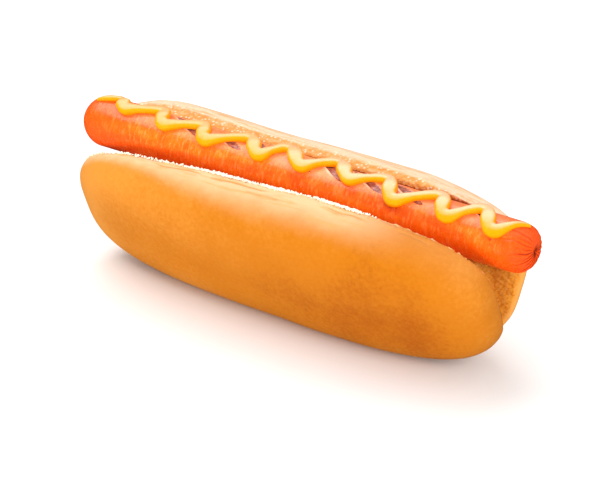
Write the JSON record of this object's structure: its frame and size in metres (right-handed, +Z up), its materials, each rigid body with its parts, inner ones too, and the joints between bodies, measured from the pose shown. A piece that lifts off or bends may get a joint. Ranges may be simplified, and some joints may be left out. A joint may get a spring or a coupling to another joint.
{
  "type": "hot dog",
  "caption": "Hot dog: a long sausage held in a soft golden bun that is slit along the top, with a zigzag line of mustard over the sausage.",
  "frame": {"origin": "under the middle of the whole hot dog, on the surface that the bun stands on", "axes": "+X along the bun and the sausage, -Y towards the half of the bun that leans further out, +Z up"},
  "size_m": [0.1964, 0.0614, 0.0681],
  "materials": {
    "bun_crust": "soft satin golden-orange baked crust, darker low down, with pale toasted crumb on the cut faces",
    "sausage_skin": "satin-glossy orange-red cooked sausage skin with fine cross striations",
    "mustard": "smooth glossy yellow mustard"
  },
  "bodies": {
    "root": {"bun": "bun_crust", "sausage": "sausage_skin", "mustard": "mustard"}
  },
  "joints": []
}
